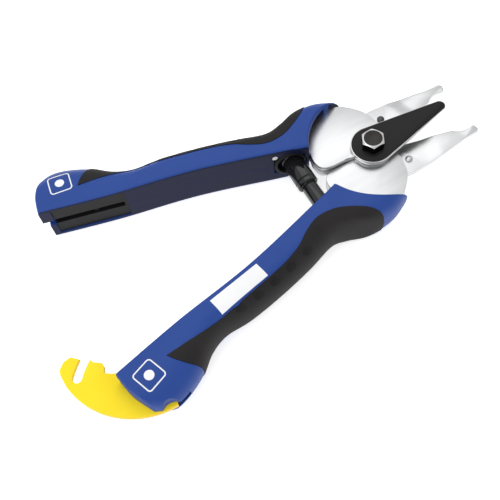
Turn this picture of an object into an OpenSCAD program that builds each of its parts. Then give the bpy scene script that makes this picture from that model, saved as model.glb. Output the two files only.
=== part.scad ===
// Spring-opened ring pliers, lying flat on their side with the handles sprung open.
// Origin: the pivot axis, at the level of the surface the pliers lie on.
// +X points out between the jaws, +Y towards the upper handle, +Z up along the pivot.
// Each handle is drawn in its own frame: x runs along it, y = 0 is the pivot's centre line,
// and +y is its inner side. The upper handle is the mirror image of the lower one.

/* [Handles] */
// Angle between each handle and the centre line when the spring has opened them
half_open = 13.75; // [13.5:0.25:15]
// Height of a handle from the surface it lies on
handle_h = 24; // [23:0.5:26]
// Radius of the hollow front edge of a handle, about the pivot
rim_r = 30; // [29.5:0.25:30.5]
// Thickness of the soft grip on the outer side
grip_t = 2; // [1.2:0.2:2.2]
// Depth of the soft grip over the top and bottom faces
grip_lip = 1.8; // [1.2:0.2:2.4]

/* [Steel plates] */
// Thickness of one lever plate
plate_t = 2.2; // [2:0.05:2.3]
// Height from one plate to the next
plate_pitch = 2.4; // [2.35:0.05:2.5]
// Length of a jaw from the pivot to its tip
jaw_len = 52.5; // [51.5:0.5:57]
// Radius of the ring groove in a jaw
groove_r = 9; // [8:0.5:12]
// Thickness of the guide plate
guide_t = 1.6; // [1.4:0.1:1.8]
// Length of the guide plate from the pivot to its tip
guide_len = 42.4; // [38:0.2:44]
// Radius of the guide plate's round end
guide_r = 10.3; // [9.8:0.1:10.8]
// Angle of the guide plate from the centre line of the open handles
guide_turn = 3.5; // [0:0.5:5]

/* [Pivot] */
// Diameter of the pivot bolt
bolt_d = 6; // [5.5:0.5:6.5]
// Width across the flats of the nut and the bolt head
nut_af = 10; // [9.5:0.5:11]
// Height of the nut
nut_h = 5; // [4:0.5:5]

/* [Return spring] */
// Distance along a handle from the pivot to the spring strut
strut_x = 39; // [38.5:0.25:39.5]
// Outer diameter of the strut's sleeve
sleeve_d = 10.4; // [10:0.2:10.6]
// Diameter of the strut's rod
rod_d = 7.9; // [7.5:0.1:8]

/* [Lock latch] */
// Thickness of the latch plate
latch_t = 2.6; // [2:0.2:2.8]
// Height of the slot that the latch swings in
latch_slot = 3.5; // [3.4:0.05:3.9]
// Diameter of the keeper pin that the latch hooks
keeper_d = 3.6; // [3:0.2:3.6]

/* [Hidden] */
$fn = 48;
eps = 0.01;
run = 0.05;                    // radial clearance of a running fit
mid_z = handle_h / 2;          // height of the plane between the two jaw plates
gap_z = plate_pitch - plate_t;
level_lo = mid_z - 2 * plate_pitch + gap_z / 2;   // underside of the lowest plate
jaw_drop = plate_pitch / 2;    // each jaw is cranked by this much to meet the other
crank_x = [23, 32];            // where the crank starts and ends
jaw_face = 0.15;               // the jaws stop this far from the centre line
guide_z = mid_z + 2 * plate_pitch + gap_z / 2;
nut_z = guide_z + guide_t + 0.15;
washer_t = 1.6;
washer_z = level_lo - 0.1 - washer_t;
pivot_y = 12;                  // depth of the strut's pivot below the centre line
strut_open = 2 * (strut_x * sin(half_open) + pivot_y * cos(half_open));
strut_shut = 2 * pivot_y;
sleeve_len = strut_shut - 2.4;   // from the sleeve's pivot to its mouth
sleeve_back = 3.4;               // and behind the pivot
rod_len = strut_shut;          // from the rod's pivot to its inner end
trunnion_d = 3.6;
trunnion_z = 8.2;              // half length of a trunnion
trunnion_gap = 0.45;           // play of the trunnions that close the linkage
latch_pivot = [-150, -19];
latch_reach = 33.62;           // from the latch pin to the middle of the hook
hook_slot = keeper_d + 0.6;
latch_sweep = 44.4;            // reach of the hook's tip, with some room
latch_hook_a = 128.6;          // direction of the hook in the open latch
latch_pin_d = 4;
keeper_xy = [-133, -10];
rivet_xy = [[-58, -13.2], [-85, -13.8], [-112, -13.4]];
screw_xy = [[-71, -13.6], [-98, -13.8]];
jaw_pin_xy = [15.5, 9];
insert_x = [-153, -118.2];
insert_back = -15.2;
insert_lip = 2.2;              // shell left above and below the insert

// ---- curves ----

// One point of a smooth curve through b and c, with neighbours a and d
function blend(a, b, c, d, t) = 0.5 * (2 * b + (c - a) * t
    + (2 * a - 5 * b + 4 * c - d) * t * t + (3 * b - a - 3 * c + d) * t * t * t);

// Smooth curve through the points p, n steps between neighbours, last point left out
function smooth(p, n) = [for (i = [0:len(p) - 2]) for (k = [0:n - 1])
    blend(p[max(i - 1, 0)], p[i], p[i + 1], p[min(i + 2, len(p) - 1)], k / n)];

// Arc about the origin from angle a to angle b
function arc(r, a, b, n) = [for (k = [0:n]) r * [cos(a + (b - a) * k / n), sin(a + (b - a) * k / n)]];

// ---- outlines in the handle's frame ----

// Outer edge of a handle from the shoulder to the flared end
outer_edge = smooth([[-9.5, -30], [-17, -31.4], [-27, -29.8], [-36, -24.8], [-46, -21.2],
    [-62, -22.8], [-80, -23.4], [-98, -22.8], [-111, -20.6], [-121, -22.6], [-131, -28],
    [-142, -31], [-150, -30.8], [-156, -27], [-158.6, -16], [-158.5, -6.6]], 4);

inner_edge = smooth([[-158.5, -6.6], [-125, -6.4], [-85, -7.8], [-45, -5.8], [-31.5, -4.8]], 4);

module handle_outline() {
    polygon(concat(outer_edge, inner_edge, arc(rim_r, 189, 257, 14)));
}

// Area that the soft grip covers, seen from above
module grip_area() {
    polygon(concat([[-24, -40], [-24, -31]], smooth([[-25, -28.5], [-28, -24], [-33.5, -18.5],
        [-40, -14], [-48, -12], [-56, -13.6], [-64, -16.6], [-76, -18.2], [-100, -18.3],
        [-118, -17.6], [-130, -16.4], [-138, -15.4]], 4), [[-138, -15.4]],
        smooth([[-136.4, -19], [-133, -24], [-128.5, -28.5], [-126, -33]], 3), [[-126, -40]]));
}

// Plate outline between the handle and the pivot, with the tang inside the handle
module tang_outline() {
    difference() {
        polygon(concat([[-118, -10.4], [-48, -9.4], [-48, -17.4], [-31, -17.4], [-31, -7]],
            smooth([[-29, -5], [-28.6, 0], [-26.4, 4], [-22, 5], [-14, 3.4], [-4, 2.4]], 4),
            [[0, 0], [7, -12], [2.5, -20.5], [-5.5, -26.3]],
            smooth([[-12, -27.6], [-20, -27.2], [-29, -24.4], [-37, -20.6], [-47, -19.4],
                [-60, -18.4], [-100, -17.6], [-118, -16.8]], 3), [[-118, -16.8]]));
        for (p = concat(rivet_xy, screw_xy)) translate(p) circle(d = 4.2);
    }
}

// Jaw outline from the pivot to its tip; its inner edge lies along the centre line
module jaw_outline() {
    difference() {
        polygon(concat([[0, 0], [8, jaw_face], [jaw_len - 1.2, jaw_face], [jaw_len, 2.6],
            [jaw_len - 0.8, 4.2]], smooth([[jaw_len - 8, 6.2], [38, 9], [28, 12.6],
            [20, 15], [13.5, 16.8], [5, 16], [-4, 11.5], [-8, 6]], 3), [[-8, 4]]));
        translate([jaw_len - 7.4, -groove_r + 1.6]) circle(r = groove_r);
    }
}

// ---- helpers ----

module in_lower_handle() { rotate([0, 0, half_open]) children(); }

module in_upper_handle() { mirror([0, 1, 0]) rotate([0, 0, half_open]) children(); }

module bore(d) { translate([0, 0, -eps]) cylinder(d = d, h = handle_h + 2 * eps); }

// Prism between two heights
module slab(z0, z1) { translate([0, 0, z0]) linear_extrude(z1 - z0) children(); }

// One flat plate of the stack, level 0 lowest
module plate(level) {
    z0 = level_lo + level * plate_pitch;
    difference() {
        union() {
            slab(z0, z0 + plate_t) tang_outline();
            slab(z0, z0 + plate_t) circle(r = 9.4);
        }
        bore(bolt_d + 2 * run);
    }
}

// Plate with a jaw, cranked by the given drop so that both jaws work in one plane
module jaw_plate(level, drop) {
    z0 = level_lo + level * plate_pitch;
    difference() {
        intersection() {
            union() {
                slab(0, handle_h) tang_outline();
                slab(0, handle_h) circle(r = 10.5);
                slab(0, handle_h) jaw_outline();
            }
            translate([0, 50, 0]) rotate([90, 0, 0]) linear_extrude(100)
                polygon([[-130, z0], [crank_x[0], z0], [crank_x[1], z0 - drop], [80, z0 - drop],
                    [80, z0 + plate_t - drop], [crank_x[1], z0 + plate_t - drop],
                    [crank_x[0], z0 + plate_t], [-130, z0 + plate_t]]);
        }
        bore(bolt_d + 2 * run);
        translate(jaw_pin_xy) bore(2.6);
    }
}

// Filler between the two plates of one handle, inside the shells
module spacer(z0, z1) {
    slab(z0, z1) intersection() {
        tang_outline();
        translate([-118, -20]) square([68, 14]);
    }
}

// Everything of a handle's shell that the grip leaves
module shell_body() {
    difference() {
        slab(0, handle_h) handle_outline();
        difference() {
            slab(-eps, handle_h + eps) grip_area();
            grip_core();
        }
    }
}

// What the grip wraps round
module grip_core() {
    slab(grip_lip, handle_h - grip_lip) intersection() {
        translate([0, grip_t]) handle_outline();
        translate([-150, -60]) square([126.5, 60]);
    }
}

// Room inside both shells for the plates, the strut, the latch pin and the fasteners
module shell_room(tang_z0, tang_z1, play) {
    slab(tang_z0, tang_z1) tang_outline();
    for (p = concat(rivet_xy, screw_xy)) translate([p[0], p[1], tang_z0])
        cylinder(d = 4.2, h = tang_z1 - tang_z0);
    translate([-strut_x - 7.6, -17.2, mid_z - 6.2]) cube([15.3, 12.8, 12.4]);
    for (p = rivet_xy) translate([p[0], p[1], mid_z - 6.4]) cylinder(d = 7, h = 12.8);
    translate([-strut_x, -pivot_y, mid_z - trunnion_z - 0.4])
        cylinder(d = trunnion_d + 2 * play, h = 2 * trunnion_z + 0.8);
}

module shell_half(top, tang_z0, tang_z1, play) {
    difference() {
        intersection() {
            shell_body();
            translate([-170, -50, top ? mid_z : 0]) cube([180, 60, handle_h / 2]);
        }
        shell_room(tang_z0, tang_z1, play);
        for (p = screw_xy) translate([p[0], p[1], 1]) cylinder(d = 3.2, h = handle_h - 4.6);
        for (p = screw_xy) translate([p[0], p[1], -eps]) cylinder(d = 6.8, h = 3.3);
        // seat plate let into the inner face round the strut
        translate([-strut_x - 9.2, -8.2, 3]) cube([17, 6, handle_h - 6]);
    }
}

// Latch slot through the end of the lower handle, with the thumb scoop beside it
module latch_room() {
    slab(mid_z - latch_slot / 2, mid_z + latch_slot / 2)
        polygon([[-170, -45], [-141, -45], [-139, -26], [-126, -16], [-126, 5], [-170, 5]]);
    translate([-149.5, -33.4, mid_z]) cylinder(r = 5, h = handle_h / 2 - 3);
    translate([latch_pivot[0], latch_pivot[1], 3.5]) cylinder(d = latch_pin_d, h = handle_h - 7);
}

// Pocket for the keeper insert in the upper handle
module keeper_room() {
    translate([insert_x[0], insert_back, insert_lip])
        cube([insert_x[1] - insert_x[0], 30, handle_h - 2 * insert_lip]);
    keeper_slot();
}

// Slot that the hook swings through when the handles are shut
module keeper_slot() {
    slab(mid_z - latch_slot / 2, mid_z + latch_slot / 2) intersection() {
        translate([latch_pivot[0], -latch_pivot[1]]) circle(r = latch_sweep);
        translate([-190, -40]) square([70.5, 45]);
    }
}

module grip() {
    difference() {
        slab(0, handle_h) intersection() {
            handle_outline();
            grip_area();
        }
        grip_core();
    }
}

// Rounded rivet that joins the two plates of a handle
module rivet(z0, z1) {
    translate([0, 0, z0]) cylinder(d = 4.2, h = z1 - z0);
    for (z = [z0 - 0.8, z1]) translate([0, 0, z]) cylinder(d = 6.4, h = 0.8);
}

module screw() {
    difference() {
        union() {
            translate([0, 0, 1.2]) cylinder(d = 6, h = 2);
            translate([0, 0, 3.2 - eps]) cylinder(d = 3.2, h = handle_h - 7);
        }
        translate([-2, -0.5, 1.2 - eps]) cube([4, 1, 1.2]);
        translate([-0.5, -2, 1.2 - eps]) cube([1, 4, 1.2]);
    }
}

// Plate let into the inner face, with a window for the strut
module seat_plate() {
    difference() {
        translate([-strut_x - 9.2, -8.2, 3]) cube([17, 2.2, handle_h - 6]);
        translate([-strut_x - 6.6, -9, mid_z - 5.8]) cube([13.9, 4, 11.6]);
        at_seat_screws() cylinder(d = 1.8, h = 5, center = true);
    }
}

module at_seat_screws() {
    for (x = [-strut_x - 7, -strut_x + 5]) translate([x, -6, handle_h - 4.6])
        rotate([90, 0, 0]) children();
}

module seat_screw() {
    at_seat_screws() {
        translate([0, 0, -0.1]) cylinder(d = 1.6, h = 2.3);
        translate([0, 0, -0.52]) cylinder(d = 2.6, h = 0.5);
    }
}

// Domed pin set in a jaw's root
module jaw_pin(z_top) {
    translate([0, 0, z_top - plate_t]) cylinder(d = 2.6, h = plate_t + 0.1);
    translate([0, 0, z_top]) cylinder(d1 = 3.6, d2 = 2.6, h = 1.3);
}

// ---- lower handle ----

lower_tang = [level_lo, level_lo + 2 * plate_pitch + plate_t];
upper_tang = [level_lo + plate_pitch, level_lo + 3 * plate_pitch + plate_t];

module lower_handle_top_shell() {
    color("royalblue") in_lower_handle() difference() {
        shell_half(true, lower_tang[0], lower_tang[1], run);
        latch_room();
    }
}

module lower_handle_bottom_shell() {
    color("midnightblue") in_lower_handle() difference() {
        shell_half(false, lower_tang[0], lower_tang[1], run);
        latch_room();
        translate([-175, -50, -eps]) cube([21, 60, handle_h]);
    }
}

module lower_handle_grip() {
    color("dimgray") in_lower_handle() difference() {
        grip();
        slab(lower_tang[0], lower_tang[1]) tang_outline();
        latch_room();
    }
}

module upper_jaw_lever() { color("silver") in_lower_handle() jaw_plate(2, jaw_drop); }

module lower_handle_cheek() { color("silver") in_lower_handle() plate(0); }

module lower_handle_spacer() {
    color("gray") in_lower_handle() spacer(level_lo + plate_t, level_lo + 2 * plate_pitch);
}

module lower_tang_rivets() {
    color("silver") in_lower_handle() for (p = rivet_xy) translate(p)
        rivet(lower_tang[0], lower_tang[1]);
}

module lower_shell_screws() {
    color("dimgray") in_lower_handle() for (p = screw_xy) translate(p) screw();
}

module lower_spring_seat() { color("black") in_lower_handle() seat_plate(); }

module lower_seat_screws() { color("silver") in_lower_handle() seat_screw(); }

module pivot_bolt() {
    color("silver") {
        cylinder(d = nut_af / cos(30), h = washer_z - 0.1, $fn = 6);
        translate([0, 0, 1]) cylinder(d = bolt_d, h = nut_z + nut_h - 0.8);
    }
}

module pivot_washer() {
    color("silver") difference() {
        translate([0, 0, washer_z]) cylinder(r = 7.4, h = washer_t);
        bore(bolt_d + 2 * run);
    }
}

module pivot_nut() {
    color("silver") difference() {
        intersection() {
            translate([0, 0, nut_z]) rotate([0, 0, -27]) cylinder(d = nut_af / cos(30), h = nut_h, $fn = 6);
            translate([0, 0, nut_z]) cylinder(r1 = nut_af / 2 + 6, r2 = nut_af / 2 - 0.3, h = nut_h);
        }
        bore(bolt_d);
    }
}

module upper_jaw_pin() {
    color("dimgray") in_lower_handle() translate(jaw_pin_xy)
        jaw_pin(level_lo + 2 * plate_pitch + plate_t);
}

module latch_pin() {
    color("silver") in_lower_handle() translate([latch_pivot[0], latch_pivot[1], 3.5])
        cylinder(d = latch_pin_d, h = handle_h - 7);
}

// ---- upper handle ----

module upper_handle_top_shell() {
    color("royalblue") in_upper_handle() difference() {
        shell_half(true, upper_tang[0], upper_tang[1], trunnion_gap);
        keeper_room();
    }
}

module upper_handle_bottom_shell() {
    color("midnightblue") in_upper_handle() difference() {
        shell_half(false, upper_tang[0], upper_tang[1], trunnion_gap);
        keeper_room();
        translate([-175, -50, -eps]) cube([21.4, 60, handle_h]);
    }
}

module upper_handle_grip() {
    color("dimgray") in_upper_handle() difference() {
        grip();
        slab(upper_tang[0], upper_tang[1]) tang_outline();
    }
}

module lower_jaw_lever() { color("silver") in_upper_handle() jaw_plate(1, -jaw_drop); }

module upper_handle_cheek() { color("silver") in_upper_handle() plate(3); }

module upper_handle_spacer() {
    color("gray") in_upper_handle()
        spacer(level_lo + plate_pitch + plate_t, level_lo + 3 * plate_pitch);
}

module upper_tang_rivets() {
    color("silver") in_upper_handle() for (p = rivet_xy) translate(p)
        rivet(upper_tang[0], upper_tang[1]);
}

module upper_shell_screws() {
    color("dimgray") in_upper_handle() for (p = screw_xy) translate(p) screw();
}

module upper_spring_seat() { color("black") in_upper_handle() seat_plate(); }

module upper_seat_screws() { color("silver") in_upper_handle() seat_screw(); }

module lower_jaw_pin() {
    color("silver") in_upper_handle() translate(jaw_pin_xy)
        jaw_pin(level_lo + plate_pitch + plate_t);
}

// Liner that the latch hooks into, with a slot across it
module keeper_insert() {
    color("black") in_upper_handle() difference() {
        translate([insert_x[0], insert_back, insert_lip])
            cube([insert_x[1] - insert_x[0], -7.2 - insert_back, handle_h - 2 * insert_lip]);
        keeper_slot();
        translate([keeper_xy[0], keeper_xy[1], 4]) cylinder(d = keeper_d, h = handle_h - 8);
    }
}

module keeper_pin() {
    color("dimgray") in_upper_handle() translate([keeper_xy[0], keeper_xy[1], 4])
        cylinder(d = keeper_d, h = handle_h - 8);
}

// ---- guide plate over the jaws ----

module guide_plate() {
    tip_r = 3;
    tip_x = guide_len - tip_r;
    slope = acos((guide_r - tip_r) / tip_x);
    color("black") rotate([0, 0, guide_turn]) difference() {
        slab(guide_z, guide_z + guide_t)
            polygon(concat(arc(guide_r, slope, 360 - slope, 40),
                [for (p = arc(tip_r, -slope, slope, 14)) p + [tip_x, 0]]));
        bore(bolt_d + 2 * run);
    }
}

// ---- spring strut, across the gap between the handles ----

// Places the strut with its rod pivot in the lower handle and +Y along the strut
module on_strut() {
    pivot = [-strut_x * cos(half_open) + pivot_y * sin(half_open),
        -strut_x * sin(half_open) - pivot_y * cos(half_open), mid_z];
    translate(pivot) children();
}

module along_strut(y0, y1, d) {
    translate([0, y0, 0]) rotate([-90, 0, 0]) cylinder(d = d, h = y1 - y0);
}

module trunnion(inner_z) {
    for (s = [-1, 1]) translate([0, 0, s > 0 ? inner_z : -trunnion_z])
        cylinder(d = trunnion_d, h = trunnion_z - inner_z);
}

module spring_rod() {
    color("dimgray") on_strut() difference() {
        union() {
            along_strut(-3.2, rod_len, rod_d);
            trunnion(rod_d / 2 - 1.2);
        }
        along_strut(3, rod_len + 1, 5.6);
    }
}

module spring_sleeve() {
    color("black") on_strut() difference() {
        union() {
            along_strut(strut_open - sleeve_len, strut_open + sleeve_back, sleeve_d);
            translate([0, strut_open, 0]) trunnion(sleeve_d / 2 - 0.6);
        }
        along_strut(strut_open - sleeve_len - 1, strut_open + 2.6, rod_d + 2 * run);
        difference() {
            along_strut(strut_open - sleeve_len - 1, strut_open - sleeve_len + 2.4, sleeve_d + 1);
            along_strut(strut_open - sleeve_len - 1, strut_open - sleeve_len + 2.4, sleeve_d - 1.2);
        }
    }
}

// Ring let into the mouth of the sleeve
module sleeve_collar() {
    color("silver") on_strut() difference() {
        along_strut(strut_open - sleeve_len, strut_open - sleeve_len + 2.4, sleeve_d);
        along_strut(strut_open - sleeve_len - 1, strut_open - sleeve_len + 3, sleeve_d - 1.2);
    }
}

// Coil at its shut length, each turn touching the next, against the sleeve's closed end
module return_spring() {
    wire_d = 0.9;
    pitch = 0.96 * wire_d;
    color("silver") on_strut() translate([0, strut_open + 2, 0]) rotate([90, 0, 0])
        for (i = [0:23]) translate([0, 0, i * pitch]) rotate_extrude()
            translate([2.1, 0]) circle(d = wire_d);
}

// ---- lock latch ----

// Latch plate, swung out: hook towards the other handle, thumb tail on the outer side
module latch() {
    color("gold") in_lower_handle() difference() {
        slab(mid_z - latch_t / 2, mid_z + latch_t / 2) difference() {
            intersection() {
                translate([-139.5, 5.2]) circle(r = 37.2, $fn = 96);
                polygon([[-180, 9], [-176, 12.6], [-174.4, 15.6], [-171, 17.3], [-167.4, 17],
                    [-164.8, 14.9], [-165.4, 12.2], [-167.6, 11.4], [-167.4, 8], [-164.4, 9],
                    [-161.6, 8.4], [-159, 5.4], [-159.4, 3.2], [-161, 1.2], [-159, -1.2],
                    [-152, -6], [-144, -14], [-142.6, -21], [-145.4, -28.4], [-147, -34],
                    [-160, -36], [-180, -20]]);
            }
            // hook, a slot that ends where the keeper pin sits when the latch is home
            translate(latch_pivot) polygon(concat(
                arc(latch_reach + hook_slot / 2, latch_hook_a, 112, 8),
                arc(latch_reach - hook_slot / 2, 112, latch_hook_a, 8)));
            translate(latch_pivot + latch_reach * [cos(latch_hook_a), sin(latch_hook_a)])
                circle(d = hook_slot);
        }
        translate(latch_pivot) bore(latch_pin_d + 2 * run);
    }
}

lower_handle_top_shell();
lower_handle_bottom_shell();
lower_handle_grip();
upper_jaw_lever();
lower_handle_cheek();
lower_handle_spacer();
lower_tang_rivets();
lower_shell_screws();
lower_spring_seat();
lower_seat_screws();
pivot_bolt();
pivot_washer();
pivot_nut();
upper_jaw_pin();
latch_pin();
upper_handle_top_shell();
upper_handle_bottom_shell();
upper_handle_grip();
lower_jaw_lever();
upper_handle_cheek();
upper_handle_spacer();
upper_tang_rivets();
upper_shell_screws();
upper_spring_seat();
upper_seat_screws();
lower_jaw_pin();
keeper_insert();
keeper_pin();
guide_plate();
spring_rod();
spring_sleeve();
sleeve_collar();
return_spring();
latch();
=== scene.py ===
import math

import bmesh
import bpy
import numpy as np
from mathutils import Matrix, Quaternion, Vector


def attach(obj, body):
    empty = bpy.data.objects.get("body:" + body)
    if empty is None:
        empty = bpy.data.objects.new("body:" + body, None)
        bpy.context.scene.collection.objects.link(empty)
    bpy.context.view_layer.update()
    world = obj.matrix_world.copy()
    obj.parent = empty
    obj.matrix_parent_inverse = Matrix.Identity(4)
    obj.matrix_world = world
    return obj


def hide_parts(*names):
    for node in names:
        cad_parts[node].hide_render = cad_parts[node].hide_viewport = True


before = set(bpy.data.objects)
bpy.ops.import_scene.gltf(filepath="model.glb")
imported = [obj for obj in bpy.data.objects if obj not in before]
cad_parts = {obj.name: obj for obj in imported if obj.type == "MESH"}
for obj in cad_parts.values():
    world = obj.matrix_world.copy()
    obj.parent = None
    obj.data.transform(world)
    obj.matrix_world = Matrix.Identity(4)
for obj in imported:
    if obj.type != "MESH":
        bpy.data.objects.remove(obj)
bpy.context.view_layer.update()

# ---- the blue handle shells ----
# Each handle is a hand-sized clamshell of injection-moulded blue plastic, split at mid height.
# Its inner wall is flat, its top slightly crowned and its outer side rounded to fill the palm.
# The front edge is hollow, about the pivot, and the steel tangs go into it.

MM = 0.001
HALF_OPEN = math.radians(13.75)
MID = 12.0
HEIGHT = 24.0
RIM_R = 30.0


def collection_object(name, mesh):
    piece = bpy.data.objects.new(name, mesh)
    bpy.context.scene.collection.objects.link(piece)
    return piece


def smooth_line(points, steps):
    """Catmull-Rom curve through points, last point included."""
    p = [np.array(q, float) for q in points]
    line = []
    for i in range(len(p) - 1):
        a, b, c, d = p[max(i - 1, 0)], p[i], p[i + 1], p[min(i + 2, len(p) - 1)]
        for k in range(steps):
            t = k / steps
            line.append(0.5 * (2 * b + (c - a) * t + (2 * a - 5 * b + 4 * c - d) * t * t
                               + (3 * b - a - 3 * c + d) * t ** 3))
    line.append(p[-1])
    return np.array(line)


def resampled(line, count):
    """The same line with points evenly spaced along it."""
    step = np.hypot(*np.diff(line, axis=0).T)
    along = np.concatenate([[0], np.cumsum(step)])
    want = np.linspace(0, along[-1], count)
    return np.stack([np.interp(want, along, line[:, k]) for k in range(2)], 1)


def place(points, handle):
    """Points in a handle's own frame, in mm, to the row frame, in metres."""
    p = np.array(points, float).reshape(-1, 3)
    c, s = math.cos(HALF_OPEN), math.sin(HALF_OPEN)
    if handle == "head":
        return p * MM
    turned = np.stack([c * p[:, 0] - s * p[:, 1], s * p[:, 0] + c * p[:, 1], p[:, 2]], 1)
    if handle == "upper":
        turned[:, 1] *= -1
    return turned * MM


def mesh_piece(name, bm, handle, body, nodes, materials, smooth_angle=35):
    """Turns a bmesh in handle-frame millimetres into a finished piece that rides on a body."""
    bmesh.ops.recalc_face_normals(bm, faces=bm.faces)
    co = place([v.co for v in bm.verts], handle)
    for v, q in zip(bm.verts, co):
        v.co = q
    if handle == "upper":                             # mirrored, so turned the right way out again
        bmesh.ops.reverse_faces(bm, faces=bm.faces)
    mesh = bpy.data.meshes.new(name)
    bm.to_mesh(mesh)
    bm.free()
    for m in materials:
        mesh.materials.append(m)
    mesh.shade_smooth()
    mesh.set_sharp_from_angle(angle=math.radians(smooth_angle))
    piece = collection_object(name, mesh)
    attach(piece, body)
    if nodes:
        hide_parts(*nodes)
    return piece


def nodes_of(material):
    tree = material.node_tree
    return tree, tree.nodes, tree.links


def surface(name, tone, tone_b, rough, rough_span=0.06, metallic=0.0, coat=0.0, grain=900.0,
            bump=0.05, patch=40.0, stretch=(1, 1, 1), specular=0.5, bump_distance=0.00005):
    """Procedural finish: two close tones in soft patches, uneven gloss and a fine grain."""
    material = bpy.data.materials.new(name)
    material.use_nodes = True
    tree, nodes, links = nodes_of(material)
    shader = nodes["Principled BSDF"]
    shader.inputs["Metallic"].default_value = metallic
    shader.inputs["Coat Weight"].default_value = coat
    shader.inputs["Coat Roughness"].default_value = 0.08
    shader.inputs["Specular IOR Level"].default_value = specular
    coord = nodes.new("ShaderNodeTexCoord")
    scale = nodes.new("ShaderNodeMapping")
    scale.inputs["Scale"].default_value = stretch
    links.new(coord.outputs["Object"], scale.inputs["Vector"])
    soft = nodes.new("ShaderNodeTexNoise")
    soft.inputs["Scale"].default_value = patch
    soft.inputs["Detail"].default_value = 4
    links.new(scale.outputs["Vector"], soft.inputs["Vector"])
    ramp = nodes.new("ShaderNodeValToRGB")
    ramp.color_ramp.elements[0].position = 0.3
    ramp.color_ramp.elements[0].color = (*tone, 1)
    ramp.color_ramp.elements[1].position = 0.7
    ramp.color_ramp.elements[1].color = (*tone_b, 1)
    links.new(soft.outputs["Fac"], ramp.inputs["Fac"])
    links.new(ramp.outputs["Color"], shader.inputs["Base Color"])
    fine = nodes.new("ShaderNodeTexNoise")
    fine.inputs["Scale"].default_value = grain
    fine.inputs["Detail"].default_value = 3
    links.new(scale.outputs["Vector"], fine.inputs["Vector"])
    gloss = nodes.new("ShaderNodeMapRange")
    gloss.inputs["To Min"].default_value = rough - rough_span
    gloss.inputs["To Max"].default_value = rough + rough_span
    links.new(soft.outputs["Fac"], gloss.inputs["Value"])
    links.new(gloss.outputs["Result"], shader.inputs["Roughness"])
    relief = nodes.new("ShaderNodeBump")
    relief.inputs["Strength"].default_value = bump
    relief.inputs["Distance"].default_value = bump_distance
    links.new(fine.outputs["Fac"], relief.inputs["Height"])
    links.new(relief.outputs["Normal"], shader.inputs["Normal"])
    return material


blue = surface("blue_moulded_plastic", (0.018, 0.058, 0.27), (0.022, 0.067, 0.30), 0.42,
               grain=1400, bump=0.12, specular=0.2)
# painted shade: the same blue plastic, made darker on the inner walls that face away from the
# light and in the hollow behind the rim
blue_painted_shade = surface("blue_inner_wall_painted_shade", (0.006, 0.009, 0.036), (0.008, 0.012, 0.044), 0.5,
               grain=1400, bump=0.12, specular=0.15)
grip_black = surface("black_soft_grip", (0.013, 0.012, 0.013), (0.021, 0.019, 0.0205), 0.7,
                     grain=1100, bump=0.6, specular=0.2, bump_distance=0.00012)

outer_line = resampled(smooth_line([
    (-156, -27), (-150, -30.8), (-142, -31), (-131, -28), (-121, -22.6), (-111, -20.6),
    (-98, -22.8), (-80, -23.4), (-62, -22.8), (-46, -21.2), (-36, -24.8), (-27, -29.8),
    (-17, -31.4), (-9.5, -30), (-6.9, -29.2)], 12), 281)
inner_line = smooth_line([(-158.5, -6.6), (-125, -6.4), (-85, -7.8), (-45, -5.8),
                          (-29.6, -4.7)], 12)
end_line = resampled(smooth_line([(-158.5, -6.6), (-158.6, -16), (-156, -27)], 12), 65)
rim_line = np.array([RIM_R * np.array([math.cos(a), math.sin(a)])
                     for a in np.radians(np.linspace(189, 256.7, 65))])

SECTION = []                     # (share of the width from the inner edge, share of half height)
for z in np.linspace(0, 0.9, 8):
    SECTION.append((0.0, z))
for t in np.radians(np.linspace(0, 90, 5)[1:]):
    SECTION.append((0.075 * (1 - math.cos(t)), 0.9 + 0.09 * math.sin(t)))
for s in (0.14, 0.22, 0.3, 0.37):
    SECTION.append((s, 0.99 + 0.01 * math.sin((s - 0.075) / 0.295 * math.pi / 2)))
for t in np.radians(np.linspace(0, 90, 27)[1:]):
    SECTION.append((0.37 + 0.63 * math.sin(t) ** 0.88, max(math.cos(t), 0) ** 0.88))


def width_blend(line, share):
    """Point at a share of the way along a boundary line."""
    k = share * (len(line) - 1)
    i = min(int(k), len(line) - 2)
    return line[i] + (line[i + 1] - line[i]) * (k - i)


def eased(share):
    share = np.clip(share, 0, 1)
    return share * share * (3 - 2 * share)


def handle_grid():
    """Upper half of a handle as a grid of points: rows along it, columns round the section."""
    rows = []
    knee, back_knee = -50.0, -138.0
    front_x, back_x = inner_line[-1][0], inner_line[0][0]
    for edge in outer_line:
        x = edge[0]
        if x > knee:
            x = knee + (x - knee) * (front_x - knee) / (outer_line[-1][0] - knee)
        elif x < back_knee:
            x = back_knee + (x - back_knee) * (back_x - back_knee) / (outer_line[0][0] - back_knee)
        inner = np.array([x, np.interp(x, inner_line[:, 0], inner_line[:, 1])])
        front = eased((edge[0] + 62) / (62 + outer_line[-1][0]))
        back = eased((back_knee - edge[0]) / (back_knee - outer_line[0][0]))
        from_end = math.hypot(*(edge - outer_line[0]))
        from_rim = math.hypot(*(edge - outer_line[-1]))
        row = []
        for share, rise in SECTION:
            p = inner + (edge - inner) * share
            for pull, line in ((front, rim_line), (back, end_line)):
                p = p + pull * (width_blend(line, share)
                                - (line[0] + (line[-1] - line[0]) * share))
            drop = 0.0
            for gap, radius in ((from_end, 1.8), (from_rim, 1.4)):
                if gap < radius:
                    drop += radius * (1 - math.sqrt(max(0, 1 - (1 - gap / radius) ** 2)))
            row.append((p[0], p[1], rise * (MID - drop)))
        rows.append(row)
    return np.array(rows)


GRID = handle_grid()
ROWS, COLS = GRID.shape[:2]


def grid_normals(grid):
    du = np.gradient(grid, axis=0)
    dv = np.gradient(grid, axis=1)
    n = np.cross(du, dv)
    n /= np.maximum(np.linalg.norm(n, axis=2, keepdims=True), 1e-9)
    if n[ROWS // 2, COLS // 2, 2] < 0:
        n = -n
    return n


NORMALS = grid_normals(GRID)

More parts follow.
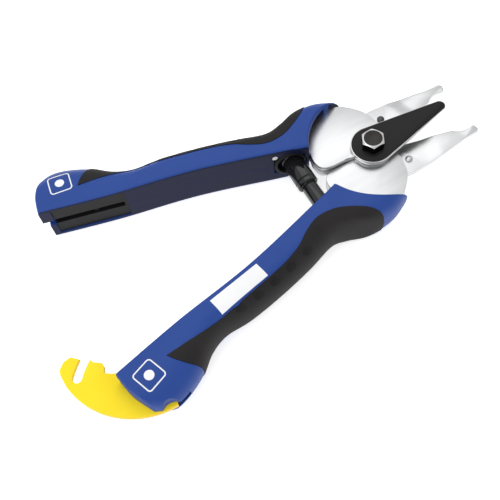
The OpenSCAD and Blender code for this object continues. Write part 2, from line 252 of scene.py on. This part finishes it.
grip_edge = np.concatenate([
    [(-24, -40), (-24, -31)],
    smooth_line([(-25, -28.5), (-28, -24), (-33.5, -18.5), (-40, -14), (-48, -12), (-56, -13.6),
                 (-64, -16.6), (-76, -18.2), (-100, -18.3), (-118, -17.6), (-130, -16.4),
                 (-138, -15.4)], 10)[:-1],
    smooth_line([(-138, -15.4), (-136.4, -19), (-133, -24), (-128.5, -28.5), (-126, -33)], 8),
    [(-126, -40)]])


def solid_half(sign, seam=0.07):
    """Half of a handle as a closed solid."""
    bm = bmesh.new()
    first = [k for k in range(COLS) if SECTION[k][0] > 0][0]     # first column off the inner wall
    skin = [[bm.verts.new((p[0], p[1], MID + sign * max(p[2], seam))) for p in row]
            for row in GRID]
    base = []
    for i in range(ROWS):
        line = [bm.verts.new((GRID[i][j][0], GRID[i][j][1], MID + sign * seam))
                for j in range(first, COLS - 1)]
        base.append([skin[i][0]] + line + [skin[i][COLS - 1]])
    for i in range(ROWS - 1):
        for sheet in (skin, base):
            for j in range(len(sheet[0]) - 1):
                bm.faces.new((sheet[i][j], sheet[i][j + 1], sheet[i + 1][j + 1], sheet[i + 1][j]))
    for i in (0, ROWS - 1):
        bm.faces.new(skin[i][:first + 1] + [base[i][1]])
        for j in range(first, COLS - 2):
            k = j - first + 1
            bm.faces.new((skin[i][j], skin[i][j + 1], base[i][k + 1], base[i][k]))
        bm.faces.new((skin[i][COLS - 2], skin[i][COLS - 1], base[i][-2]))
    bmesh.ops.recalc_face_normals(bm, faces=bm.faces)
    return bm


def skin_layer(low, high, signs=(1, -1), dimples=()):
    """Closed layer that follows the handle's skin, from depth low to height high."""
    raised = np.full((ROWS, COLS), float(high))
    for x, y in dimples:
        along = (GRID[..., 0] - x) / 2.5
        side = (GRID[..., 2] - 9.2) / 1.6
        raised -= 1.35 * np.clip(1 - along ** 2 - side ** 2, 0, 1) ** 0.45 * (GRID[..., 1] < -14)
    first = 10                                       # first column clear of the inner corner
    bm = bmesh.new()
    sheets = []
    for offset in (raised, np.full((ROWS, COLS), float(low))):
        points = GRID + NORMALS * offset[..., None]
        sheet = []
        for i in range(2, ROWS - 2):
            line = []
            for sign in signs:
                cols = range(first, COLS) if sign == signs[0] else range(COLS - 2, first - 1, -1)
                for j in cols:
                    z = 0.0 if j == COLS - 1 else max(points[i, j, 2], 0.0)
                    line.append(bm.verts.new((points[i, j, 0], points[i, j, 1], MID + sign * z)))
            sheet.append(line)
        sheets.append(sheet)
        for i in range(len(sheet) - 1):
            for j in range(len(sheet[0]) - 1):
                bm.faces.new((sheet[i][j], sheet[i][j + 1], sheet[i + 1][j + 1], sheet[i + 1][j]))
    rims = [e for e in bm.edges if e.is_boundary]
    bmesh.ops.bridge_loops(bm, edges=rims)
    bmesh.ops.recalc_face_normals(bm, faces=bm.faces)
    return bm


def cutter(outline, z0, z1):
    """Prism over an outline, between two heights."""
    bm = bmesh.new()
    face = bm.faces.new([bm.verts.new((x, y, z0)) for x, y in outline])
    grown = bmesh.ops.extrude_face_region(bm, geom=[face])
    bmesh.ops.translate(bm, vec=(0, 0, z1 - z0),
                        verts=[g for g in grown["geom"] if isinstance(g, bmesh.types.BMVert)])
    bmesh.ops.recalc_face_normals(bm, faces=bm.faces)
    return bm


def rectangle(x0, x1, y0, y1):
    return [(x0, y0), (x1, y0), (x1, y1), (x0, y1)]


def cut_with(bm, cutters, operation="DIFFERENCE"):
    """bm less each cutter, or the part of bm inside it."""
    mesh = bpy.data.meshes.new("stock")
    bm.to_mesh(mesh)
    bm.free()
    stock = collection_object("stock", mesh)
    tools = []
    for k, tool in enumerate(cutters):
        tool_mesh = bpy.data.meshes.new("tool")
        tool.to_mesh(tool_mesh)
        tool.free()
        tools.append(collection_object(f"tool_{k}", tool_mesh))
        cut = stock.modifiers.new(f"cut_{k}", "BOOLEAN")
        cut.operation = operation
        cut.solver = "EXACT"
        cut.object = tools[-1]
    graph = bpy.context.evaluated_depsgraph_get()
    done = bpy.data.meshes.new_from_object(stock.evaluated_get(graph))
    out = bmesh.new()
    out.from_mesh(done)
    for piece in [stock] + tools:
        bpy.data.objects.remove(piece)
    return out


def arc_points(centre, radius, a0, a1, count):
    return [(centre[0] + radius * math.cos(a), centre[1] + radius * math.sin(a))
            for a in np.radians(np.linspace(a0, a1, count))]


STRUT_X = -39.0
LATCH_PIN = (-150.0, -19.0)
STRUT_ROOM = 6.2                 # half height of the strut's pocket
SLOT_HALF_Z = 1.75               # half height of the slots for the latch
INSERT_LIP = 2.1                 # plastic left above and below the keeper insert
HOLLOW_HALF_Z = 8.4              # half height of the hollow behind the rim
LATCH_SLOT = [(-170, -45), (-141, -45), (-139, -26), (-126, -16), (-126, 5), (-170, 5)]


BOOT_X = STRUT_X + 0.4


def boot_pocket(radius):
    """Round pocket in the inner wall for the boot round the strut."""
    bm = bmesh.new()
    bmesh.ops.create_cone(bm, cap_ends=True, segments=64, radius1=radius, radius2=radius, depth=6)
    bmesh.ops.rotate(bm, verts=bm.verts, cent=(0, 0, 0),
                     matrix=Matrix.Rotation(math.radians(90), 3, "X"))
    bmesh.ops.translate(bm, verts=bm.verts, vec=(BOOT_X, -5.2, MID))
    return bm


def handle_cutters(handle, half):
    cuts = [cutter(rectangle(STRUT_X - 7.6, STRUT_X + 7.7, -17.2, -4),
                   MID - STRUT_ROOM, MID + STRUT_ROOM),
            boot_pocket(8.2),
            cutter(arc_points((0, 0), 33, 197, 238, 20) + arc_points((0, 0), 26, 238, 197, 20),
                   MID - HOLLOW_HALF_Z, MID + HOLLOW_HALF_Z)]
    if handle == "lower":
        cuts.append(cutter(LATCH_SLOT, MID - SLOT_HALF_Z, MID + SLOT_HALF_Z))
        if half == "top":
            cuts.append(cutter(arc_points((-150.5, -34.2), 5.8, 0, 350, 36), 10, 20.5))
    else:
        keeper = (arc_points((-150, 19), 44.4, 226, 312, 30)
                  + [(-119.5, 5), (-185, 5)])
        cuts.append(cutter(rectangle(-153.1, -118.1, -15.3, -4), INSERT_LIP,
                           HEIGHT - INSERT_LIP))
        cuts.append(cutter(keeper, MID - SLOT_HALF_Z, MID + SLOT_HALF_Z))
    if half == "bottom":
        cuts.append(cutter(rectangle(-175, -156, -50, 5), -5, MID + 5))
        cuts.append(cutter([(-175, -50), (-143, -50), (-147, -31), (-156, -22), (-175, -22)],
                           -5, MID + 5))
    return cuts


def paint_shade_on_inner_wall(piece, handle):
    """The flat inner wall and the hollow behind the rim take a darker blue: painted shade on the
    same plastic.
    """
    origin = Vector(place([(0, 0, 0)], handle)[0])
    inner = (Vector(place([(0, 1, 0)], handle)[0]) - origin).normalized()
    for face in piece.data.polygons:
        reach = math.hypot(face.center.x, face.center.y) / MM
        level = abs(face.center.z / MM - MID)
        to_pivot = -(face.normal.x * face.center.x + face.normal.y * face.center.y) / MM / reach
        hollow = 30.3 < reach < 33.2 and level < 8.5 and (to_pivot > 0.5 or level > 8.3)
        if face.normal.dot(inner) > 0.9 or hollow:
            face.material_index = 1


for handle, body in (("lower", "lower_handle"), ("upper", "upper_handle")):
    for half, sign in (("top", 1), ("bottom", -1)):
        recess = cut_with(skin_layer(-1.3, 1.5), [cutter(grip_edge, -3, HEIGHT + 3)], "INTERSECT")
        solid = cut_with(solid_half(sign), handle_cutters(handle, half) + [recess])
        piece = mesh_piece(f"{handle}_shell_{half}_moulding", solid, handle, body,
                           [f"{handle}_handle_{half}_shell"], [blue, blue_painted_shade])
        paint_shade_on_inner_wall(piece, handle)

# ---- the soft grips ----
# A thick black elastomer overmould fills a recess along the outer side of each handle.
# It stands just proud of the blue plastic, with five oval finger dimples on its shoulder.

DIMPLES = [(-62, -20.8), (-72.4, -21), (-82, -21.1), (-91.5, -21), (-101, -20.7)]
GROOVE = -0.14                   # the pad stops this far from the edge of its recess
along_edge = np.roll(grip_edge, -1, 0) - np.roll(grip_edge, 1, 0)
outward = np.stack([along_edge[:, 1], -along_edge[:, 0]], 1)
outward /= np.linalg.norm(outward, axis=1, keepdims=True)
turning = (grip_edge * np.roll(grip_edge, -1, 0)[:, ::-1] * (1, -1)).sum()
outward *= np.sign(turning)
for handle, body in (("lower", "lower_handle"), ("upper", "upper_handle")):
    pad = cut_with(skin_layer(-1.25, 0.3, dimples=DIMPLES),
                   [cutter(grip_edge + GROOVE * outward, -3, HEIGHT + 3)], "INTERSECT")
    mesh_piece(f"{handle}_grip_overmould", pad, handle, body,
               [f"{handle}_handle_grip"], [grip_black], 50)

# ---- printed marks ----
# Plain white pad printing on the top faces: a blank panel, and a square frame with a dot.
# The ink is a film about 0.05 mm thick that follows the moulded surface.

ink = surface("white_pad_print", (0.86, 0.87, 0.88), (0.93, 0.93, 0.94), 0.5, grain=900, bump=0.1)


def rounded_square(centre, size, corner, turn):
    points = []
    for quarter in range(4):
        middle = math.radians(45 + 90 * quarter)
        reach = (size / 2 - corner) * math.sqrt(2)
        points += arc_points((reach * math.cos(middle), reach * math.sin(middle)), corner,
                             90 * quarter, 90 * quarter + 90, 8)
    c, s = math.cos(math.radians(turn)), math.sin(math.radians(turn))
    return [(centre[0] + c * x - s * y, centre[1] + s * x + c * y) for x, y in points]


def printed(name, handle, body, outline, holes=()):
    film = cut_with(skin_layer(-0.2, 0.05, signs=(1,)), [cutter(outline, MID + 2, HEIGHT + 3)],
                    "INTERSECT")
    if holes:
        film = cut_with(film, [cutter(h, MID, HEIGHT + 4) for h in holes])
    mesh_piece(name, film, handle, body, [], [ink], 30)


printed("lower_print_panel", "lower", "lower_handle",
        [(-109, -17.2), (-83, -17.6), (-83, -10.2), (-109, -9.4)])
for handle, centre, turn in (("lower", (-148.5, -17), 8), ("upper", (-146, -19.5), -6)):
    printed(f"{handle}_print_frame", handle, f"{handle}_handle",
            rounded_square(centre, 10.6, 1.6, turn), [rounded_square(centre, 9.5, 1.1, turn)])
    printed(f"{handle}_print_dot", handle, f"{handle}_handle", arc_points(centre, 2.2, 0, 350, 36))

# ---- steel levers and cheeks ----
# Four blanked and polished steel plates turn on the pivot, two to each handle.
# The two middle ones end in cranked jaws; a half-round groove near each tip takes the ring.

steel = surface("polished_steel", (0.62, 0.625, 0.63), (0.74, 0.745, 0.75), 0.32, 0.06,
                metallic=1.0, grain=260, bump=0.03, patch=24, stretch=(1, 6, 1))
steel_edge = surface("ground_steel_edge", (0.5, 0.51, 0.52), (0.66, 0.67, 0.68), 0.3, 0.08,
                     metallic=1.0, grain=900, bump=0.2, patch=120, stretch=(1, 1, 8))

TANG = ([(-118, -10.4), (-48, -9.4), (-48, -17.4), (-31, -17.4), (-31, -7)]
        + [tuple(p) for p in smooth_line([(-29, -5), (-28.6, 0), (-26.4, 4), (-22, 5),
                                          (-14, 3.4), (-4, 2.4)], 6)])
TANG_LOW = ([tuple(p) for p in smooth_line([(7, -12), (2.5, -20.5), (-5.5, -26.3), (-12, -27.6),
                                            (-20, -27.2), (-29, -24.4), (-37, -20.6),
                                            (-47, -19.4), (-60, -18.4), (-100, -17.6),
                                            (-118, -16.8)], 5)])
EYE = 9.4                       # round eye of a plate about the pivot


def cheek_outline():
    eye = [p for p in arc_points((0, 0), EYE, 150, -52, 26)]
    return TANG[:-1] + [(-9.6, 2.6)] + eye[1:] + TANG_LOW


JAW_LEN = 52.5


def jaw_plate_outline():
    top = [tuple(p) for p in smooth_line([(-13, 6.4), (-6.5, 11.2), (1, 15), (9, 16.6),
                                          (14.5, 16.6), (20, 15), (28, 12.6),
                                          (38, 9), (JAW_LEN - 8, 6.2)], 6)]
    tip = [(JAW_LEN - 0.9, 4.2), (JAW_LEN - 0.05, 2.6), (JAW_LEN - 1.3, 0.2)]
    groove = arc_points((JAW_LEN - 7.4, -7.4), 9.0, 57.6, 122.4, 14)
    back = [(12, 0.2)]
    eye = arc_points((0, 0), 10.5, 0, -50, 10)
    return TANG[:-2] + [(-17, 4.2)] + top + tip + groove + back + eye + TANG_LOW


def plate_mesh(outline, z0, z1, edge=0.3, cuts=()):
    """Blanked plate with eased edges; cuts are extra lines across it for later bending."""
    bm = cutter(outline, z0, z1)
    for x in cuts:
        bmesh.ops.bisect_plane(bm, geom=bm.verts[:] + bm.edges[:] + bm.faces[:],
                               plane_co=(x, 0, 0), plane_no=(1, 0, 0))
    rims = [e for e in bm.edges if len(e.link_faces) == 2
            and abs(e.verts[0].co.z - e.verts[1].co.z) < 1e-6
            and any(abs(f.normal.z) < 0.5 for f in e.link_faces)
            and any(abs(f.normal.z) > 0.5 for f in e.link_faces)]
    bmesh.ops.bevel(bm, geom=rims, offset=edge, affect="EDGES", segments=2, profile=0.5,
                    material=-1)
    return bm


def mark_edges(piece, face_limit=0.97):
    """Faces that aren't on the flat of a plate take the second material: a ground finish on the
    steel plates, a painted highlight on the guide plate, painted shade on the latch.
    """
    for face in piece.data.polygons:
        if abs(face.normal.z) < face_limit:
            face.material_index = 1


def cranked(bm, drop):
    for v in bm.verts:
        share = min(max((v.co.x - 23) / 9, 0), 1)
        v.co.z -= drop * share * share * (3 - 2 * share)
    return bm


LEVEL = [7.3, 9.7, 12.1, 14.5]
PLATE = 2.2
CRANK_CUTS = [23, 25, 27, 29, 31, 32]
for name, node, handle, body, level, drop in (
        ("upper_jaw_blade", "upper_jaw_lever", "lower", "lower_handle", 2, 1.2),
        ("lower_jaw_blade", "lower_jaw_lever", "upper", "upper_handle", 1, -1.2)):
    blade = plate_mesh(jaw_plate_outline(), LEVEL[level], LEVEL[level] + PLATE, 0.35, CRANK_CUTS)
    piece = mesh_piece(name, cranked(blade, drop), handle, body, [node],
                       [steel, steel_edge], 25)
    mark_edges(piece, 0.9)
for name, node, handle, body, level in (
        ("lower_cheek_plate", "lower_handle_cheek", "lower", "lower_handle", 0),
        ("upper_cheek_plate", "upper_handle_cheek", "upper", "upper_handle", 3)):
    piece = mesh_piece(name, plate_mesh(cheek_outline(), LEVEL[level], LEVEL[level] + PLATE),
                       handle, body, [node], [steel, steel_edge], 25)
    mark_edges(piece)

# ---- guide plate, nut and bolt ----
# A teardrop of glossy black steel lies over the jaw roots, held down by the pivot nut; its eased
# rim is coloured bright steel as a painted highlight.
# The nut and the bolt head are plated hexagons with a turned chamfer; their flats are coloured
# near black as a painted dark reflection, and the chamfer bright as a painted highlight.

black_plate = surface("black_gloss_plate", (0.006, 0.0055, 0.0055), (0.009, 0.0085, 0.0085),
                      0.36, 0.05,
                      grain=300, bump=0.03, patch=60, specular=0.2)
# painted highlight: bright steel on the guide plate's eased rim and on the nut's chamfer stands in
# for the highlight these edges catch
painted_highlight_edge = surface("painted_highlight_edge_steel", (0.62, 0.62, 0.63), (0.8, 0.8, 0.8), 0.22, 0.05,
                      metallic=1.0, grain=700, bump=0.1)
# painted reflection: near-black metal on the flats of the nut and bolt head stands in for the dark
# surroundings their plated flats reflect
nut_painted_dark_reflection = surface("hexagon_painted_dark_reflection", (0.02, 0.019, 0.018), (0.05, 0.047, 0.044),
                      0.14, 0.05,
                      metallic=1.0, grain=500, bump=0.05, patch=90)

GUIDE_Z = 16.9
GUIDE_T = 1.6
tip_x = 42.4 - 3
slope = math.degrees(math.acos((10.3 - 3) / tip_x))
guide = (arc_points((0, 0), 10.3, slope, 360 - slope, 72)
         + arc_points((tip_x, 0), 3, -slope, slope, 24))
guide_bm = plate_mesh(guide, GUIDE_Z, GUIDE_Z + GUIDE_T, 0.4)
bmesh.ops.rotate(guide_bm, verts=guide_bm.verts, cent=(0, 0, 0),
                 matrix=Matrix.Rotation(math.radians(3.5), 3, "Z"))
piece = mesh_piece("teardrop_guide", guide_bm, "head",
                   "lower_handle", ["guide_plate"], [black_plate, painted_highlight_edge], 30)
mark_edges(piece, 0.93)


def turned_mesh(profile, centre, axis="Z", ring=False, steps=64):
    """Solid turned from (radius, height) pairs; a ring has a hole, other shapes are closed."""
    bm = bmesh.new()
    points = [(r, 0, h) for r, h in profile]
    if not ring:
        points = [(0, 0, profile[0][1])] + points + [(0, 0, profile[-1][1])]
    line = [bm.verts.new(p) for p in points]
    edges = [bm.edges.new(pair) for pair in zip(line, line[1:])]
    if ring:
        edges.append(bm.edges.new((line[-1], line[0])))
    bmesh.ops.spin(bm, geom=line + edges, cent=(0, 0, 0), axis=(0, 0, 1), dvec=(0, 0, 0),
                   angle=math.tau, steps=steps, use_merge=True, use_normal_flip=False,
                   use_duplicate=False)
    bmesh.ops.remove_doubles(bm, verts=bm.verts, dist=1e-4)
    if axis == "Y":
        bmesh.ops.rotate(bm, verts=bm.verts, cent=(0, 0, 0),
                         matrix=Matrix.Rotation(math.radians(-90), 3, "X"))
    bmesh.ops.translate(bm, verts=bm.verts, vec=centre)
    bmesh.ops.recalc_face_normals(bm, faces=bm.faces)
    return bm


def hexagon_mesh(z_low, z_high, flats, turn, face_up):
    """Turned blank with a coned corner and a round face, with six flats cut on it."""
    corner = flats / 2 / math.cos(math.radians(30))
    disc = flats / 2 - 0.25
    fall = (corner - disc) * math.tan(math.radians(30))
    bm = turned_mesh([(corner, z_low), (corner, z_high - 0.12 - fall), (disc, z_high - 0.12),
                      (disc * 0.93, z_high)], (0, 0, 0), steps=96)
    for k in range(6):
        a = turn + math.radians(60 * k)
        out = Vector((math.cos(a), math.sin(a), 0))
        cut = bmesh.ops.bisect_plane(bm, geom=bm.verts[:] + bm.edges[:] + bm.faces[:],
                                     plane_co=out * flats / 2, plane_no=out, clear_outer=True)
        bmesh.ops.holes_fill(bm, edges=[g for g in cut["geom_cut"]
                                        if isinstance(g, bmesh.types.BMEdge)], sides=0)
    for face in bm.faces:                             # turned chamfer, coloured bright as a painted highlight
        if 0.5 < abs(face.normal.z) < 0.95:
            face.material_index = 1
    if not face_up:
        for v in bm.verts:
            v.co.z = z_low + z_high - v.co.z
    return bm


NUT_Z = GUIDE_Z + GUIDE_T + 0.15
mesh_piece("pivot_nut_hexagon", hexagon_mesh(NUT_Z, NUT_Z + 5, 10, math.radians(33), True), "head",
           "lower_handle", ["pivot_nut"], [nut_painted_dark_reflection, painted_highlight_edge], 20)
bolt = hexagon_mesh(0, 5.5, 10, 0, False)
shank_mesh = bpy.data.meshes.new("shank")
shank = turned_mesh([(3, 5.45), (3, 22.4), (2.6, 22.9)], (0, 0, 0))
shank.to_mesh(shank_mesh)
shank.free()
bolt.from_mesh(shank_mesh)
mesh_piece("pivot_bolt_head", bolt, "head", "lower_handle", ["pivot_bolt"],
           [nut_painted_dark_reflection, painted_highlight_edge], 20)

# ---- jaw pins ----
# A small domed pin is riveted into the root of each jaw; the upper one is coloured dark as painted
# shade.

pin_steel = surface("turned_pin_steel", (0.45, 0.45, 0.46), (0.6, 0.6, 0.6), 0.28, 0.08,
                    metallic=1.0, grain=700, bump=0.15, patch=200)
# near-black steel for the shell screws, and painted shade on the upper jaw's rivet, which is the
# same pin as the bright lower one
dark_screw_and_shaded_pin_steel = surface("dark_screw_and_painted_shade_pin_steel", (0.06, 0.06, 0.06), (0.11, 0.105, 0.1), 0.3, 0.08,
                   metallic=1.0, grain=700, bump=0.15, patch=200)


def domed(radius, low, high):
    rise = [(radius * math.cos(t), high - radius * 0.45 * (1 - math.sin(t)))
            for t in np.radians(np.linspace(0, 80, 6))]
    return [(radius, low)] + rise


for name, handle, body, node, z, material in (
        ("upper_jaw_rivet", "lower", "lower_handle", "upper_jaw_pin", 14.3, dark_screw_and_shaded_pin_steel),
        ("lower_jaw_rivet", "upper", "upper_handle", "lower_jaw_pin", 11.9, pin_steel)):
    mesh_piece(name, turned_mesh(domed(1.75, z - 2, z + 1.25), (15.5, 9, 0)), handle, body,
               [node], [material])

# ---- spring strut ----
# A black rod slides in a black sleeve with a coil spring inside, and pushes the handles apart.
# Each end turns on a short cross pin in a pocket of its handle.

strut_black = surface("black_strut_enamel", (0.008, 0.008, 0.009), (0.012, 0.012, 0.013),
                      0.16, 0.05,
                      coat=0.3, grain=500, bump=0.06, specular=0.4)
seat_black = surface("black_seat_plastic", (0.009, 0.009, 0.010), (0.014, 0.014, 0.0155), 0.5,
                     grain=1200, bump=0.2, specular=0.15)
OPEN_GAP = 2 * (39 * math.sin(HALF_OPEN) + 12 * math.cos(HALF_OPEN))
ROD_PIVOT = (-39 * math.cos(HALF_OPEN) + 12 * math.sin(HALF_OPEN),
             -39 * math.sin(HALF_OPEN) - 12 * math.cos(HALF_OPEN), MID)
rod = turned_mesh([(3.2, -3.2), (3.95, -2.4), (3.95, 19.5), (3.6, 20.1), (3.95, 20.7),
                   (3.95, 23.4),
                   (3.4, 24)], ROD_PIVOT, "Y")
mesh_piece("strut_rod_tube", rod, "head", "spring_rod", ["spring_rod"],
           [strut_black])
mouth = OPEN_GAP - 21.6
sleeve = turned_mesh([(4.0, mouth + 0.1), (4.7, mouth), (5.15, mouth + 0.5), (5.15, mouth + 2.2),
                      (4.75, mouth + 2.6), (5.2, mouth + 3.0), (5.2, mouth + 15.4),
                      (4.85, mouth + 15.9), (5.2, mouth + 16.4), (5.2, OPEN_GAP + 2.6),
                      (4.5, OPEN_GAP + 3.4)], ROD_PIVOT, "Y")
mesh_piece("strut_sleeve_tube", sleeve, "head", "spring_sleeve",
           ["spring_sleeve", "sleeve_collar", "return_spring"], [strut_black])
for handle in ("lower", "upper"):
    boot = turned_mesh([(6.3, -8.1), (8.1, -8.1), (8.1, -5.9), (7.7, -5.2), (6.9, -4.9),
                        (6.4, -5.3)],
                       (BOOT_X, 0, MID), "Y", ring=True)
    mesh_piece(f"{handle}_strut_boot", boot, handle, f"{handle}_handle",
               [f"{handle}_spring_seat"], [seat_black])

# ---- latch ----
# A flat yellow plastic hook turns on a pin in the end of the lower handle.
# Its notch catches the keeper pin of the upper handle; a short tail is pushed with the thumb.

yellow = surface("yellow_latch_plastic", (0.98, 0.74, 0.02), (1.0, 0.78, 0.03), 0.6, 0.05,
                 grain=1300, bump=0.12, specular=0.15, patch=60)
# painted shade: the latch's edges are the same yellow plastic, coloured darker for the shade on
# its sides
yellow_painted_shade_edge = surface("yellow_latch_painted_shade_edge", (0.8, 0.5, 0.004), (0.86, 0.56, 0.006), 0.45, 0.05,
                      grain=1300, bump=0.12, patch=60)
REACH = 33.62                    # latch pin to the middle of the hook's slot
HOOK_A = 128.6
SLOT_HALF = 2.1
hook_end = (LATCH_PIN[0] + REACH * math.cos(math.radians(HOOK_A)),
            LATCH_PIN[1] + REACH * math.sin(math.radians(HOOK_A)))
latch_outline = (arc_points((-139.5, 5.2), 37.2, 176.5, 258.5, 40)
                 + [(-145.4, -28.4), (-142.6, -21), (-144, -14), (-152, -6), (-159, -1.2),
                    (-161, 1.2), (-159.4, 3.2), (-159, 5.4), (-161.6, 8.4)]
                 + arc_points(LATCH_PIN, REACH - SLOT_HALF, 112, HOOK_A, 8)
                 + arc_points(hook_end, SLOT_HALF, HOOK_A + 180, HOOK_A, 10)[1:-1]
                 + arc_points(LATCH_PIN, REACH + SLOT_HALF, HOOK_A, 115, 8)
                 + [(-167.4, 17), (-171, 17.3), (-174.4, 15.6), (-175.6, 13.2)])
latch_bm = plate_mesh(latch_outline, MID - 1.3, MID + 1.3, 0.3)
piece = mesh_piece("lock_latch_hook", latch_bm, "lower", "latch", ["latch"],
                   [yellow, yellow_painted_shade_edge], 30)
mark_edges(piece, 0.8)

# ---- CAD parts shown as they are ----
# Seats, keeper, screws, rivets and pins keep their engineered shapes and take real finishes.

cad_finish = {
    "lower_handle_spacer": seat_black, "upper_handle_spacer": seat_black,
    "lower_tang_rivets": pin_steel, "upper_tang_rivets": pin_steel,
    "lower_shell_screws": dark_screw_and_shaded_pin_steel, "upper_shell_screws": dark_screw_and_shaded_pin_steel,
    "lower_seat_screws": pin_steel, "upper_seat_screws": pin_steel,
    "latch_pin": pin_steel, "keeper_insert": seat_black, "keeper_pin": seat_black,
    "pivot_washer": pin_steel,
}
for node, material in cad_finish.items():
    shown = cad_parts[node]
    shown.data.materials.clear()
    shown.data.materials.append(material)
    ease = shown.modifiers.new("eased_edges", "BEVEL")
    ease.width = 0.00025
    ease.segments = 2
    ease.limit_method = "ANGLE"
    ease.angle_limit = math.radians(40)

# ---- stage, light and camera ----
# The pliers lie on a white sheet under two softboxes.
# The sheet glows a little, so that it reads as white right up to their edge.

floor_material = surface("pale_stage", (0.9, 0.9, 0.9), (0.92, 0.92, 0.92), 0.9, 0.02, patch=3,
                         grain=80, bump=0.0)
floor_shader = floor_material.node_tree.nodes["Principled BSDF"]
floor_shader.inputs["Emission Color"].default_value = (1, 1, 1, 1)
floor_shader.inputs["Emission Strength"].default_value = 0.6
bm = bmesh.new()
bmesh.ops.create_grid(bm, x_segments=2, y_segments=2, size=3)
floor_mesh = bpy.data.meshes.new("stage_floor")
bm.to_mesh(floor_mesh)
bm.free()
floor_mesh.materials.append(floor_material)
floor = collection_object("stage_floor", floor_mesh)
floor.location = (0, 0, -0.0004)

world = bpy.data.worlds.new("studio")
bpy.context.scene.world = world
world.use_nodes = True
world.node_tree.nodes["Background"].inputs["Color"].default_value = (1, 1, 1, 1)
world.node_tree.nodes["Background"].inputs["Strength"].default_value = 0.7
# plain colour, so that white stays white and the latch stays a full yellow
bpy.context.scene.view_settings.view_transform = "Standard"


def area_light(name, location, target, size, power):
    data = bpy.data.lights.new(name, "AREA")
    data.shape = "RECTANGLE"
    data.size, data.size_y = size
    data.energy = power
    lamp = bpy.data.objects.new(name, data)
    bpy.context.scene.collection.objects.link(lamp)
    lamp.location = location
    lamp.rotation_mode = "QUATERNION"
    lamp.rotation_quaternion = (Vector(target) - Vector(location)).to_track_quat("-Z", "Y")
    return lamp


area_light("overhead_softbox", (0.09, 0.33, 0.66), (-0.03, 0, 0), (0.75, 0.75), 1.5)
area_light("left_softbox", (-0.5, -0.1, 0.6), (-0.06, 0, 0), (0.6, 0.6), 1.6)

camera_data = bpy.data.cameras.new("main_view")
camera = bpy.data.objects.new("main_view", camera_data)
bpy.context.scene.collection.objects.link(camera)
bpy.context.scene.camera = camera
camera_data.sensor_width = 36
camera_data.lens = 57.6
camera_data.clip_start = 0.01
camera_data.clip_end = 10
AIM = Vector((-0.0773, -0.0222, 0.0235))
ELEVATION = math.radians(62.41)
HEADING = math.radians(20.85)
ROLL = math.radians(8.63)
DISTANCE = 0.3493
forward = Vector((math.cos(ELEVATION) * math.sin(HEADING),
                  math.cos(ELEVATION) * math.cos(HEADING), -math.sin(ELEVATION)))
camera.location = AIM - forward * DISTANCE
camera.rotation_mode = "QUATERNION"
camera.rotation_quaternion = (forward.to_track_quat("-Z", "Y")
                              @ Quaternion((0, 0, 1), -ROLL))
